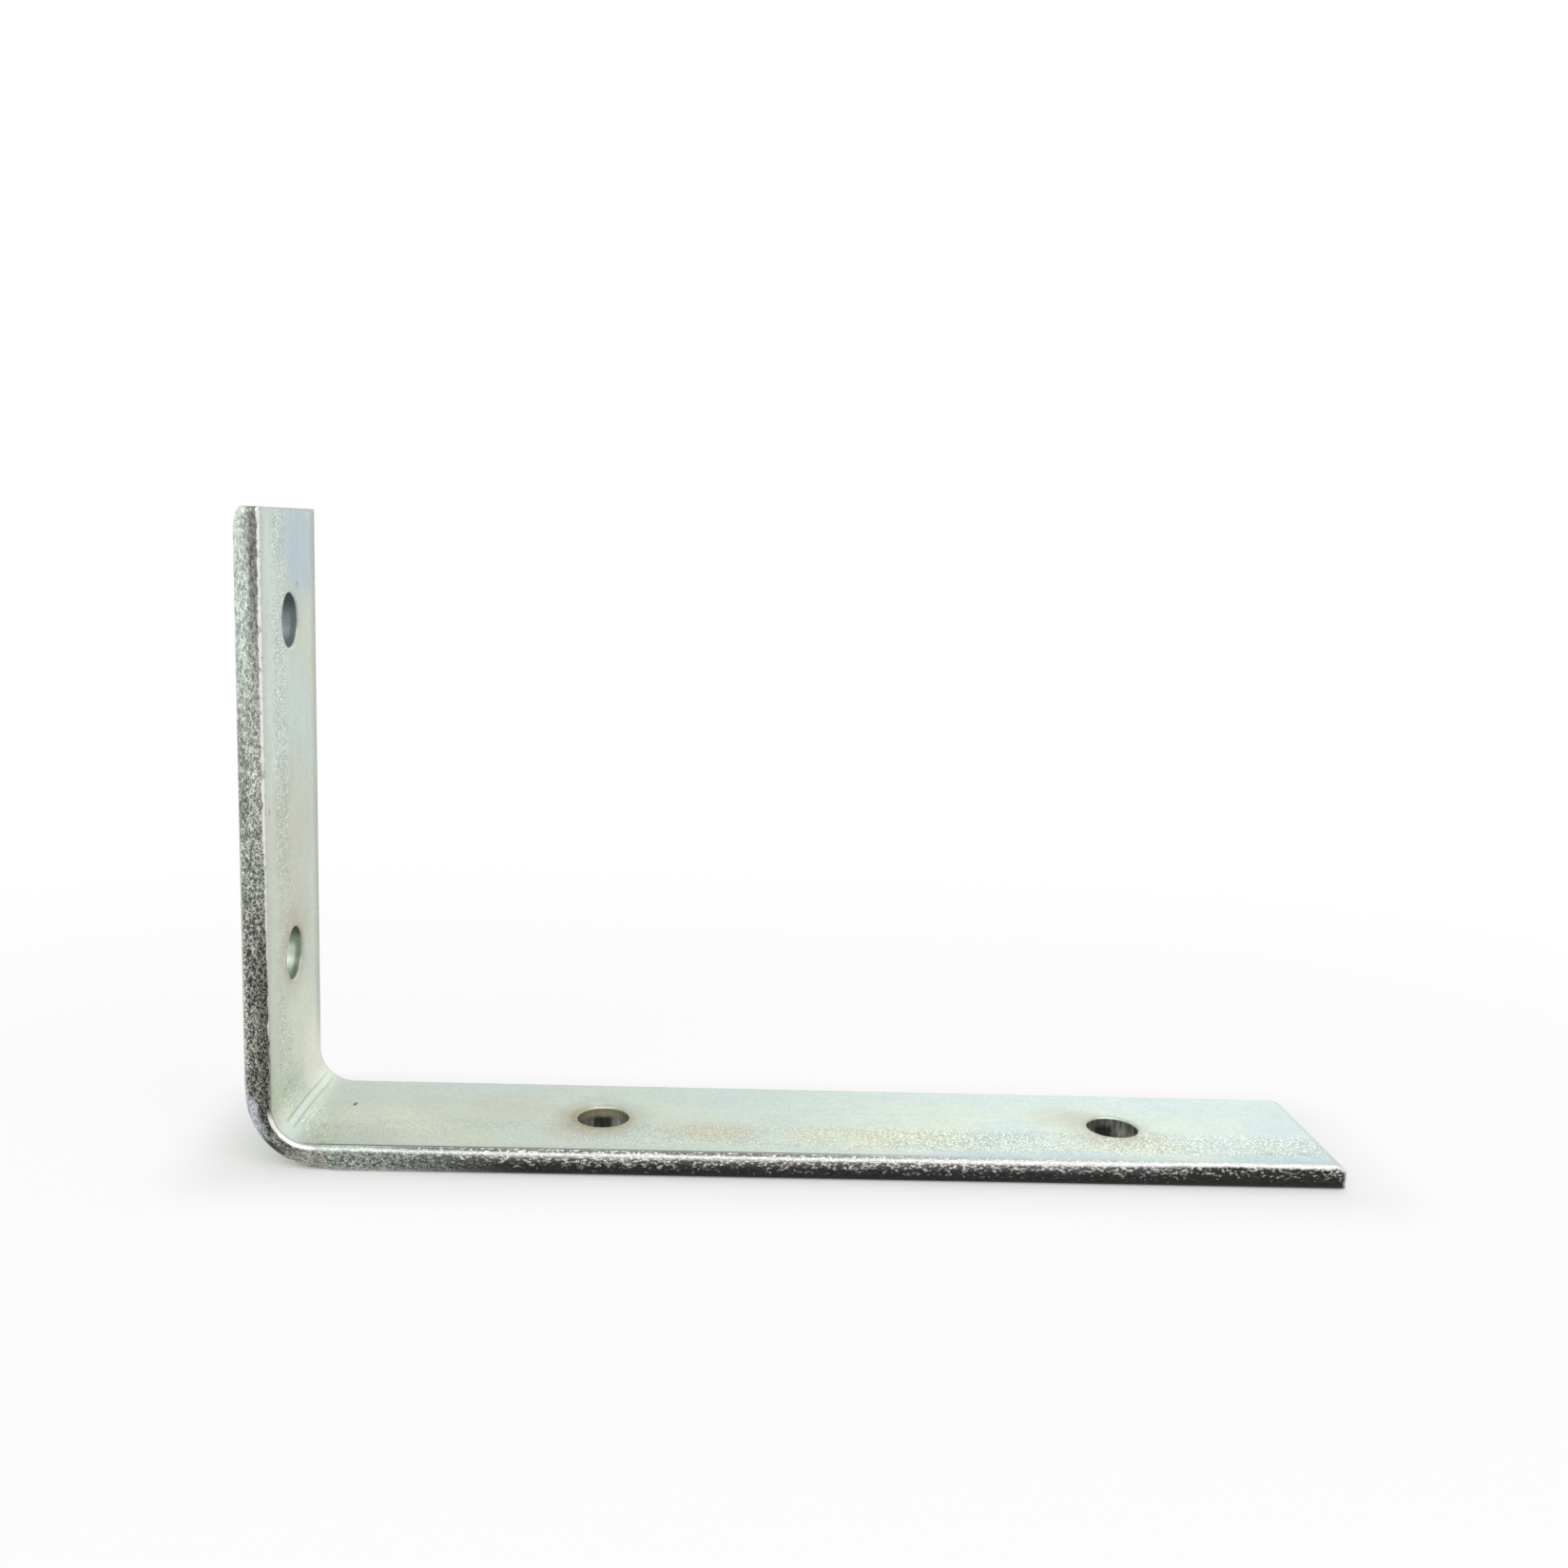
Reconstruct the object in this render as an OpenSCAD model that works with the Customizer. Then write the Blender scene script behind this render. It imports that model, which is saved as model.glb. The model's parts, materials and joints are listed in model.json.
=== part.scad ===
// Angle bracket: one length of flat steel bar, sheared, punched and bent.
// It lies on its long leg, and the short leg stands up at the left end.
// X runs along the long leg, Y across the bar and Z up the short leg.
// The origin is on the underside, at the middle of the long leg.

/* [Legs] */
// Length of the long leg, from the back of the short leg to its free end
long_leg = 120; // [80:1:240]
// Height of the short leg, from the underside of the long leg to its free end
short_leg = 70; // [50:1:160]

/* [Flat bar] */
// Width of the bar
bar_width = 20; // [14:0.5:40]
// Thickness of the bar
bar_thickness = 2.8; // [2:0.1:5]
// Radius that the rolling mill leaves on the four long edges
mill_edge = 0.8; // [0.3:0.05:0.95]

/* [Sheared ends] */
// How far out of square the short leg is cut, its front corner the lower one
short_end_skew = 1; // [0:0.1:2]
// Depth to which the shear draws the outer face down at the end of the short leg
short_draw_depth = 0.6; // [0.4:0.05:1]
// Length of that drawn stretch
short_draw_length = 2.2; // [1:0.1:3]
// Depth to which the shear draws the inner face down at the end of the long leg
long_draw_depth = 0.7; // [0.4:0.05:1]
// Length of that drawn stretch
long_draw_length = 1.5; // [1:0.1:3]
// Radius on the edge between a drawn face and the end's cut
end_lip = 0.35; // [0.1:0.05:0.5]
// Radius on the two corners of each free end, seen square on to the leg
end_corner = 0.7; // [0.2:0.1:4]

/* [Bend] */
// Radius inside the bend
inner_radius = 4; // [2:0.1:8]
// How much thinner than the bar the metal is halfway round the bend
bend_thinning = 0.5; // [0:0.05:0.6]
// How far each side of the bar draws in halfway round the outside of the bend
side_draw = 0.6; // [0.2:0.05:1]
// Width of the flat that the press nose leaves halfway round the inside
nose_flat = 0.85; // [0.4:0.05:1.4]
// Depth of that flat below the inside of the bend
nose_depth = 0.06; // [0.03:0.01:0.12]
// Unmarked metal between that flat and the front side of the bar
nose_front = 3; // [1:0.1:5]
// Unmarked metal between that flat and the rear side of the bar
nose_rear = 1.7; // [1:0.1:5]

/* [Screw holes] */
// Diameter of the four punched holes
hole_diameter = 5.8; // [3:0.1:9]
// Radius of the drawn rim on the inner face, where the punch goes in
rim_in = 0.35; // [0.1:0.05:0.6]
// How much wider in radius the torn wall is on the outer face, where the slug comes out
tear_gain = 0.15; // [0.05:0.05:0.4]
// Length of that torn wall, from the outer face
tear_length = 1.1; // [0.5:0.1:1.2]
// Free end of the short leg to the middle of its upper hole
short_end_to_hole = 12; // [6:0.1:36]
// Underside of the long leg to the middle of the short leg's lower hole
short_back_to_hole = 21.2; // [16:0.1:40]
// Free end of the long leg to the middle of its outer hole
long_end_to_hole = 23.8; // [6:0.1:60]
// Back of the short leg to the middle of the long leg's inner hole
long_back_to_hole = 37.2; // [16:0.1:80]

/* [Hidden] */
$fn = 96;
// How far a cutting shape runs past the metal that it cuts
past = 1;
// A drawn edge would rise above both of its faces by this share of its radius,
// so it meets them at a shallow angle, as drawn metal does
draw_lift = 0.05;
// A drawn face leaves its plane at this shallow angle
draw_angle = 4;
// The ring that draws a side in is out of the metal by this share of its depth
// where its quarter turn begins and ends
draw_runout = 0.1;
// The diagonal of a unit square is longer than its side by this much
diagonal_gain = sqrt(2) - 1;
half_width = bar_width / 2;
// Distance from both outer faces to the axis of the bend's inside
inner_axis = bar_thickness + inner_radius;
// Radius outside the bend, and distance from both outer faces to its axis
outer_radius = inner_axis + bend_thinning / diagonal_gain;

// Section of the bar behind one of its faces, with that face's two mill edges
// X runs from the face into the metal and past the other face, Y across the bar
module face_section() {
    translate([mill_edge, -half_width])
        square([bar_thickness + past - mill_edge, bar_width]);
    translate([0, mill_edge - half_width])
        square([2 * mill_edge, bar_width - 2 * mill_edge]);
    for (side = [-1, 1])
        translate([mill_edge, side * (half_width - mill_edge)])
            circle(r = mill_edge);
}

// What a drawn edge or rim takes off the corner between two faces
// The faces lie on the axes, and the metal on their positive sides
module drawn_corner(radius) {
    difference() {
        translate([-past, -past])
            square(radius + past);
        translate([radius, radius] * (1 - draw_lift))
            circle(r = radius);
    }
}

// Puts on the long leg what is drawn for the short one
module on_long_leg() {
    mirror([1, 0, -1])
        children();
}

// Turns a section a quarter round, from the short leg to the long one
// The axis stands axis_at from both outer faces, and the section's X is its radius
module quarter_turn(axis_at) {
    translate([axis_at, 0, axis_at])
        rotate([90, 0, 0])
            rotate([0, 0, 180])
                rotate_extrude(angle = 90)
                    children();
}

// Carries a section up the short leg, round the bend and along the long leg, past both ends
// The section's X is its distance from the outer faces
module along_the_bar(axis_at) {
    translate([0, 0, axis_at])
        linear_extrude(short_leg + past - axis_at)
            children();
    on_long_leg()
        translate([0, 0, axis_at])
            linear_extrude(long_leg + past - axis_at)
                children();
    quarter_turn(axis_at)
        translate([axis_at, 0])
            mirror([1, 0])
                children();
}

// The bar as its inner faces and the inside of its bend shape it
module inside_form() {
    along_the_bar(inner_axis)
        translate([bar_thickness, 0])
            mirror([1, 0])
                face_section();
}

// The bar as its outer faces and the outside of its bend shape it
module outside_form() {
    along_the_bar(outer_radius)
        face_section();
}

// One punched hole: a drawn rim, a smooth wall, and a torn wall that widens to the outer face
// It stands on the outer face, and Z runs towards the inner one
module punched_hole() {
    radius = hole_diameter / 2;
    rotate_extrude() {
        translate([0, -past])
            square([radius, bar_thickness + 2 * past]);
        polygon([
            [0, -past],
            [radius + tear_gain * (1 + past / tear_length), -past],
            [radius, tear_length],
            [0, tear_length]
        ]);
        translate([radius, bar_thickness])
            mirror([0, 1])
                drawn_corner(rim_in);
    }
}

// The two holes of a leg, drawn for the short leg
module leg_holes(leg, end_to_hole, back_to_hole) {
    for (height = [leg - end_to_hole, back_to_hole])
        translate([0, 0, height])
            rotate([0, 90, 0])
                punched_hole();
}

// What drawing takes off a face over some length before its end, and off the lip there
// X runs into the metal and Y away from the end
module drawn_end(depth, length) {
    radius = (depth * depth + length * length) / 2
        / (depth * cos(draw_angle) - length * sin(draw_angle));
    middle = [radius * cos(draw_angle), length + radius * sin(draw_angle)];
    difference() {
        translate([-past, -past])
            square(middle + [past, past]);
        translate(middle)
            circle(r = radius);
    }
    // The lip's circle touches the drawn face from inside, and its cut stops where they touch
    inside = radius - end_lip;
    sine = (middle.y - end_lip) / inside;
    lip = [middle.x - inside * sqrt(1 - sine * sine), end_lip];
    difference() {
        translate([-past, -past])
            square([lip.x, lip.y * (1 - sine)] + [past, past]);
        translate(lip - [1, 1] * end_lip * draw_lift)
            circle(r = end_lip);
    }
}

// What the shear takes off a free end, drawn for the short leg and its outer face
module sheared_end(leg, skew, draw_depth, draw_length) {
    translate([0, half_width, leg])
        rotate([skew, 0, 0])
            translate([0, -half_width, 0]) {
                translate([-past, -half_width - past, 0])
                    cube([bar_thickness + 2 * past, bar_width + 2 * past, 2 * past]);
                translate([0, half_width + past, 0])
                    rotate([90, 0, 0])
                        linear_extrude(bar_width + 2 * past)
                            mirror([0, 1])
                                drawn_end(draw_depth, draw_length);
                for (side = [0, 1])
                    mirror([0, side, 0])
                        translate([-past, -half_width, 0])
                            rotate([90, 0, 90])
                                linear_extrude(bar_thickness + 2 * past)
                                    mirror([0, 1])
                                        drawn_corner(end_corner);
            }
}

// The ring that takes the two sides in round the outside of the bend
// Its own axis stands further in, so it is deepest halfway and runs out on both legs
module side_draws() {
    edge = mill_edge + side_draw;
    shift = (1 + draw_runout) * edge / diagonal_gain;
    for (side = [0, 1])
        mirror([0, side, 0])
            quarter_turn(outer_radius + shift)
                translate([outer_radius + shift * sqrt(2), half_width])
                    rotate(180)
                        drawn_corner(edge);
}

// The flat that the press nose leaves halfway round the inside of the bend
module nose_mark() {
    translate([inner_axis, 0, inner_axis])
        rotate([0, -45, 0])
            translate([-inner_radius - nose_depth, nose_front - half_width, -nose_flat / 2])
                cube([nose_depth + past, bar_width - nose_front - nose_rear, nose_flat]);
}

module angle_bracket() {
    color("lightsteelblue")
        translate([-long_leg / 2, 0, 0])
            difference() {
                intersection() {
                    inside_form();
                    outside_form();
                }
                leg_holes(short_leg, short_end_to_hole, short_back_to_hole);
                sheared_end(short_leg, short_end_skew, short_draw_depth, short_draw_length);
                on_long_leg() {
                    leg_holes(long_leg, long_end_to_hole, long_back_to_hole);
                    translate([bar_thickness, 0, 0])
                        mirror([1, 0, 0])
                            sheared_end(long_leg, 0, long_draw_depth, long_draw_length);
                }
                side_draws();
                nose_mark();
            }
}

angle_bracket();
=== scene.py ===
"""Angle bracket of zinc-plated flat steel bar, with the floor, lamps and camera that show it.

The bar is made as the maker makes it. A flat blank is sheared to length and punched, and the
forming tree then bends it over the press nose, draws its sides in and roughens its rolled edges.
Lengths are millimetres up to the forming tree's end, which turns them into metres.
A place on the blank is (along, across, up): along the bar from the middle of the bend, the long
leg's way positive; across it, the front side negative; up from the outer face to the inner one.
"""
import json
import math

import bmesh
import bpy
from mathutils import Matrix, Vector, noise


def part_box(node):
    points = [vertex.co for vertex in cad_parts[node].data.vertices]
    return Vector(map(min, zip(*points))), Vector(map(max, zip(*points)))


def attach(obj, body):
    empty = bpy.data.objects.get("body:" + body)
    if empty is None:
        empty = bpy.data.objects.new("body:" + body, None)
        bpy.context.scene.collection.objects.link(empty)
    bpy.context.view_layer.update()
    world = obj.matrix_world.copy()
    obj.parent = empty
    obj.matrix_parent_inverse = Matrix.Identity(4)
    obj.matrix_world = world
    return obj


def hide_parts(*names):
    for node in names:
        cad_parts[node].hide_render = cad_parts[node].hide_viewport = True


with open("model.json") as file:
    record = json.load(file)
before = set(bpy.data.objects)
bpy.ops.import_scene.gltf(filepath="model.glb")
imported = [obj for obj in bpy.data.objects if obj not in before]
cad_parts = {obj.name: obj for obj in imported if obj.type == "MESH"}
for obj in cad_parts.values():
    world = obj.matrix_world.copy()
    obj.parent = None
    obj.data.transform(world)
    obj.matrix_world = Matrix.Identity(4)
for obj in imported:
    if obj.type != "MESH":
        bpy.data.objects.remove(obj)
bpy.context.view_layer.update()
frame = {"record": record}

MM = 0.001
node_low, node_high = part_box("angle_bracket")
mounts = {mount["name"]: mount for mount in frame["record"]["mounts"]}

# The bar's sizes, from the frame
LONG_LEG = (node_high.x - node_low.x) / MM
SHORT_LEG = (node_high.z - node_low.z) / MM
BAR_WIDTH = (node_high.y - node_low.y) / MM
THICKNESS = mounts["long_leg_inner_face"]["pos_m"][2] / MM
HALF_WIDTH = BAR_WIDTH / 2
HALF_LONG_LEG = LONG_LEG / 2

# The bend
INNER_RADIUS = 4.0
BEND_THINNING = 0.5
INNER_AXIS = THICKNESS + INNER_RADIUS
OUTER_AXIS = INNER_AXIS + BEND_THINNING / (math.sqrt(2) - 1)
BEND_HALF = INNER_RADIUS * math.pi / 4

# The rolled edges, the sheared ends and the punched holes
MILL_EDGE = 0.8
END_CORNER = 0.7
END_LIP = 0.35
SHORT_END_SKEW = math.radians(1)
DRAW_ANGLE = math.radians(4)
SHORT_DRAW = {"depth": 0.6, "length": 2.2}
LONG_DRAW = {"depth": 0.7, "length": 1.5}
RIM_IN = 0.35
TEAR_GAIN = 0.15
TEAR_LENGTH = 1.1


def along_from_corner(distance):
    """Place along the blank of what lies at that distance from a leg's outer corner."""
    return distance - INNER_AXIS + BEND_HALF


def hole_places(mount, corner_distance):
    """Places along the blank of a bolt pattern's two holes, the one nearer the bend first."""
    spacing = next(value for name, value in mount["dims"].items() if name.startswith("spacing"))
    return [along_from_corner(corner_distance + side * spacing / 2) for side in (-1, 1)]


long_holes = mounts["long_leg_holes"]
short_holes = mounts["short_leg_holes"]
HOLE_RADIUS = long_holes["dims"]["hole_r_mm"]
HOLE_C, HOLE_D = hole_places(long_holes, long_holes["pos_m"][0] / MM + HALF_LONG_LEG)
HOLE_B, HOLE_A = [-place for place in hole_places(short_holes, short_holes["pos_m"][2] / MM)]
# The long leg's end stays a hair inside, so that rounding can't push it out
HAIR = 0.0005
LONG_END = along_from_corner(LONG_LEG) - HAIR
SHORT_END = -along_from_corner(SHORT_LEG)


# ---------------------------------------------------------------- node trees

class Field:
    """An output socket of a node tree. Python's operators on it add Math nodes."""

    def __init__(self, socket):
        self.socket = socket
        self.tree = socket.id_data

    @staticmethod
    def node(tree, kind, settings, sockets, output=0):
        """Adds a node, its settings first, then its sockets' values or links."""
        made = tree.nodes.new(kind)
        for name, value in settings.items():
            setattr(made, name, value)
        for name, value in sockets.items():
            if isinstance(value, Field):
                tree.links.new(value.socket, made.inputs[name])
            else:
                made.inputs[name].default_value = value
        return Field(made.outputs[output]) if made.outputs else None

    def beside(self, output):
        """Another output of the same node."""
        return Field(self.socket.node.outputs[output])

    def math(self, operation, *values):
        return Field.node(self.tree, "ShaderNodeMath", {"operation": operation}, dict(enumerate(values)))

    def __add__(self, other):
        return self.math("ADD", self, other)

    def __sub__(self, other):
        return self.math("SUBTRACT", self, other)

    def __rsub__(self, other):
        return self.math("SUBTRACT", other, self)

    def __mul__(self, other):
        return self.math("MULTIPLY", self, other)

    def __truediv__(self, other):
        return self.math("DIVIDE", self, other)

    def __rtruediv__(self, other):
        return self.math("DIVIDE", other, self)

    def __abs__(self):
        return self.math("ABSOLUTE", self)

    __radd__ = __add__
    __rmul__ = __mul__

    def least(self, other):
        return self.math("MINIMUM", self, other)

    def most(self, other):
        return self.math("MAXIMUM", self, other)

    def cosine(self):
        return self.math("COSINE", self)

    def sine(self):
        return self.math("SINE", self)

    def root(self):
        return self.math("SQRT", self)

    def sign(self):
        return self.math("SIGN", self)

    def over(self, limit):
        return self.math("GREATER_THAN", self, limit)

    def rise(self, low, high):
        """Soft step from 0 at low to 1 at high. It falls where low is the larger."""
        return Field.node(
            self.tree, "ShaderNodeMapRange", {"interpolation_type": "SMOOTHSTEP"},
            {"Value": self, "From Min": low, "From Max": high},
        )

    def blend(self, low, high):
        """The value low where this share is 0, and high where it is 1."""
        return low + self * (high - low)

    def tint(self, low, high):
        """The colour low where this share is 0, and high where it is 1."""
        sockets = {0: self}
        for socket, colour in ((6, low), (7, high)):
            sockets[socket] = colour if isinstance(colour, Field) else (*colour, 1)
        return Field.node(self.tree, "ShaderNodeMix", {"data_type": "RGBA"}, sockets, 2)


def place_of(vector):
    """The three numbers of a vector."""
    first = Field.node(vector.tree, "ShaderNodeSeparateXYZ", {}, {0: vector})
    return first, first.beside(1), first.beside(2)


def vector_of(tree, x, y, z):
    return Field.node(tree, "ShaderNodeCombineXYZ", {}, {0: x, 1: y, 2: z})


def grain(place, size, seed, detail=2.0, rough=0.5, stretch=(1, 1, 1), twist=0.0):
    """Cloudy noise from 0 to 1, its clouds about size across, longer along an axis by its stretch."""
    scaled = Field.node(
        place.tree, "ShaderNodeVectorMath", {"operation": "MULTIPLY"},
        {0: place, 1: [1 / (size * factor) for factor in stretch]},
    )
    return Field.node(
        place.tree, "ShaderNodeTexNoise", {"noise_dimensions": "4D"},
        {"Vector": scaled, "W": seed, "Scale": 1.0, "Detail": detail, "Roughness": rough, "Distortion": twist},
    )


# ---------------------------------------------------------------- the blank

FACE_STEP = 0.5
SIDE_STEP = 0.17
BEND_STEP = 0.14
NOSE_STEP = 0.08
END_STEP = 0.25
LIP_STEP = 0.05
PATCH_HALF = 6.0
COLUMN_STEP = 0.462
HOLE_RINGS = 9
RIM_STEPS = 5
WALL_STEPS = 5
TEAR_STEPS = 6


def spread(start, end, step):
    """Even places from start up to end, which is left out, at most a step apart."""
    count = math.ceil((end - start) / step - 1e-6)
    return [start + (end - start) * index / count for index in range(count)]


def rows_along():
    """Places along the blank of the rows of its two faces, close together where the metal bends."""
    bend_zone, nose_zone, end_zone, lip_zone = 7.0, 1.0, 3.0, 0.25
    stops = [(SHORT_END, LIP_STEP), (SHORT_END + lip_zone, END_STEP), (SHORT_END + end_zone, FACE_STEP)]
    for hole in (HOLE_A, HOLE_B):
        stops += [(hole - PATCH_HALF, FACE_STEP), (hole + PATCH_HALF, FACE_STEP)]
    stops += [(-bend_zone, BEND_STEP), (-nose_zone, NOSE_STEP), (nose_zone, BEND_STEP), (bend_zone, FACE_STEP)]
    for hole in (HOLE_C, HOLE_D):
        stops += [(hole - PATCH_HALF, FACE_STEP), (hole + PATCH_HALF, FACE_STEP)]
    stops += [(LONG_END - end_zone, END_STEP), (LONG_END - lip_zone, LIP_STEP), (LONG_END, 0)]
    rows = []
    for (start, step), (end, _) in zip(stops, stops[1:]):
        rows += spread(start, end, step)
    return rows + [LONG_END]


def columns_across():
    """Places across the blank of the columns of its two faces."""
    edge = HALF_WIDTH - MILL_EDGE
    return (spread(-edge, -PATCH_HALF, COLUMN_STEP) + spread(-PATCH_HALF, PATCH_HALF, COLUMN_STEP)
            + spread(PATCH_HALF, edge, COLUMN_STEP) + [edge])


def side_section():
    """The rolled side from the inner face to the outer: (across, up) on the rear side."""
    arc_steps, flat_steps = 5, 7
    edge = HALF_WIDTH - MILL_EDGE
    points = []
    for step in range(arc_steps):
        turn = math.pi / 2 * step / arc_steps
        points.append((edge + MILL_EDGE * math.sin(turn), THICKNESS - MILL_EDGE * (1 - math.cos(turn))))
    for up in spread(MILL_EDGE, THICKNESS - MILL_EDGE, (THICKNESS - 2 * MILL_EDGE) / flat_steps):
        points.append((HALF_WIDTH, THICKNESS - up))
    return points + [(across, THICKNESS - up) for across, up in reversed(points[:arc_steps + 1])]


def drawn_depth(reach, depth, length):
    """How deep the shear has drawn a face at some reach from the end."""
    if reach >= length:
        return 0.0
    radius = (depth ** 2 + length ** 2) / 2 / (depth * math.cos(DRAW_ANGLE) - length * math.sin(DRAW_ANGLE))
    middle = radius * math.cos(DRAW_ANGLE), length + radius * math.sin(DRAW_ANGLE)
    inside = radius - END_LIP
    sine = (middle[1] - END_LIP) / inside
    if reach < END_LIP * (1 - sine):
        return middle[0] - inside * math.sqrt(1 - sine ** 2) - math.sqrt(END_LIP ** 2 - (END_LIP - reach) ** 2)
    return middle[0] - math.sqrt(radius ** 2 - (middle[1] - reach) ** 2)


def sheared(along, across, up):
    """Where the shear leaves a point of the square blank."""
    short = along < 0
    reach = along - SHORT_END if short else LONG_END - along
    depth = drawn_depth(reach, **(SHORT_DRAW if short else LONG_DRAW))
    if short:
        up = depth + (THICKNESS - depth) * up / THICKNESS
    else:
        up = (THICKNESS - depth) * up / THICKNESS
    inward = END_CORNER - reach
    outward = abs(across) - (HALF_WIDTH - END_CORNER)
    if inward > 0 and outward > 0:
        a, b = inward / END_CORNER, outward / END_CORNER
        reach = END_CORNER * (1 - a * math.sqrt(1 - b * b / 2))
        across = math.copysign(HALF_WIDTH - END_CORNER * (1 - b * math.sqrt(1 - a * a / 2)), across)
    if short:
        skew_reach = 9.0
        share = max(0.0, 1 - reach / skew_reach)
        reach += (HALF_WIDTH - across) * math.tan(SHORT_END_SKEW) * share
    return (SHORT_END + reach if short else LONG_END - reach), across, up


def torn(turn, up):
    """How far the slug has torn the hole's wall back at a place round it and some way up."""
    share = 1 - up / TEAR_LENGTH
    rough = noise.noise(Vector((4 * math.cos(turn), 4 * math.sin(turn), up * 1.5)))
    return share * (TEAR_GAIN + 0.09 * rough)


class Skin:
    """The blank's surface, whose corners are shared by every face that meets there."""

    def __init__(self):
        self.places = []
        self.known = {}
        self.faces = []

    def corner(self, along, across, up):
        key = (round(along, 4), round(across, 4), round(up, 4))
        if key not in self.known:
            self.known[key] = len(self.places)
            self.places.append(sheared(along, across, up))
        return self.known[key]

    def face(self, *places):
        corners = [self.corner(*place) for place in places]
        kept = [c for index, c in enumerate(corners) if c != corners[index - 1]]
        if len(kept) > 2:
            self.faces.append(kept)

    def mesh(self, name):
        made = bpy.data.meshes.new(name)
        made.from_pydata(self.places, [], self.faces)
        builder = bmesh.new()
        builder.from_mesh(made)
        bmesh.ops.recalc_face_normals(builder, faces=builder.faces)
        if builder.calc_volume(signed=True) < 0:
            bmesh.ops.reverse_faces(builder, faces=builder.faces)
        builder.to_mesh(made)
        builder.free()
        made.polygons.foreach_set("use_smooth", [True] * len(made.polygons))
        made.set_sharp_from_angle(angle=math.radians(38))
        return made


def fine_rows(start, end):
    """The side's rows between two rows of the faces, both included."""
    return spread(start, end, SIDE_STEP) + [end]


def add_faces(skin, rows, columns, holes):
    """The inner and the outer face, open where the holes' patches go."""
    edge = columns[-1]
    for up in (THICKNESS, 0.0):
        for start, end in zip(rows, rows[1:]):
            middle = (start + end) / 2
            beside_hole = any(abs(middle - hole) < PATCH_HALF for hole in holes)
            for left, right in zip(columns, columns[1:]):
                if beside_hole and abs(left + right) / 2 < PATCH_HALF:
                    continue
                outline = [(start, right), (start, left), (end, left), (end, right)]
                if left == -edge:
                    outline = [(start, right), *((row, left) for row in fine_rows(start, end)), (end, right)]
                if right == edge:
                    outline = [(end, left), *((row, right) for row in reversed(fine_rows(start, end))), (start, left)]
                skin.face(*((along, across, up) for along, across in outline))


def add_sides(skin, rows, section):
    """The two rolled sides."""
    for start, end in zip(rows, rows[1:]):
        fine = fine_rows(start, end)
        for low, high in zip(fine, fine[1:]):
            for (across, up), (next_across, next_up) in zip(section, section[1:]):
                for side in (-1, 1):
                    skin.face((low, side * across, up), (high, side * across, up),
                              (high, side * next_across, next_up), (low, side * next_across, next_up))


def add_ends(skin, columns, section):
    """The two sheared end faces."""
    shares = [column / columns[-1] for column in columns]
    for end in (SHORT_END, LONG_END):
        for (wide, up), (next_wide, next_up) in zip(section, section[1:]):
            for left, right in zip(shares, shares[1:]):
                skin.face((end, wide * left, up), (end, wide * right, up),
                          (end, next_wide * right, next_up), (end, next_wide * left, next_up))


def add_hole(skin, hole, rows, columns):
    """One punched hole, between the square gaps that are left for it in the two faces."""
    rows = [row for row in rows if abs(row - hole) < PATCH_HALF + 1e-6]
    columns = [column for column in columns if abs(column) < PATCH_HALF + 1e-6]
    first, last = columns[0], columns[-1]
    border = [(rows[-1], column) for column in columns[:-1]] + [(row, last) for row in rows[:0:-1]]
    border += [(rows[0], column) for column in columns[:0:-1]] + [(row, first) for row in rows[:-1]]
    turns = []
    for along, across in border:
        turns.append(math.atan2(across, along - hole))
    rings = []
    rim = HOLE_RADIUS + RIM_IN

    def flat_rings(up, radius, widen):
        """Rings from the patch's square border to the hole's circle, closer towards the hole."""
        for step in range(HOLE_RINGS):
            share = 1 - (1 - step / HOLE_RINGS) ** 1.5
            ring = []
            for (along, across), turn in zip(border, turns):
                reach = radius + (widen(turn) if widen else 0)
                x, y = hole + reach * math.cos(turn), reach * math.sin(turn)
                ring.append((along + (x - along) * share, across + (y - across) * share, up))
            yield ring

    def round_ring(radius, up, widen=None):
        return [(hole + (radius + (widen(turn) if widen else 0)) * math.cos(turn),
                 (radius + (widen(turn) if widen else 0)) * math.sin(turn), up) for turn in turns]

    rings += list(flat_rings(THICKNESS, rim, None))
    for step in range(RIM_STEPS + 1):
        lean = math.pi / 2 * step / RIM_STEPS
        rings.append(round_ring(rim - RIM_IN * math.sin(lean), THICKNESS - RIM_IN * (1 - math.cos(lean))))
    wall_top = THICKNESS - RIM_IN
    for step in range(1, WALL_STEPS + 1):
        rings.append(round_ring(HOLE_RADIUS, wall_top + (TEAR_LENGTH - wall_top) * step / WALL_STEPS))
    for step in range(1, TEAR_STEPS + 1):
        up = TEAR_LENGTH * (1 - step / TEAR_STEPS)
        rings.append(round_ring(HOLE_RADIUS, up, lambda turn: torn(turn, up)))
    rings += reversed(list(flat_rings(0.0, HOLE_RADIUS, lambda turn: torn(turn, 0.0))))
    for upper, lower in zip(rings, rings[1:]):
        for index in range(len(turns)):
            after = (index + 1) % len(turns)
            skin.face(upper[index], upper[after], lower[after], lower[index])


def make_blank():
    """The sheared and punched bar, still flat."""
    rows, columns, section = rows_along(), columns_across(), side_section()
    holes = (HOLE_A, HOLE_B, HOLE_C, HOLE_D)
    skin = Skin()
    add_faces(skin, rows, columns, holes)
    add_sides(skin, rows, section)
    add_ends(skin, columns, section)
    for hole in holes:
        add_hole(skin, hole, rows, columns)
    return bpy.data.objects.new("angle_bracket_zinc", skin.mesh("angle_bracket_zinc"))


# ---------------------------------------------------------------- the forming tree

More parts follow.
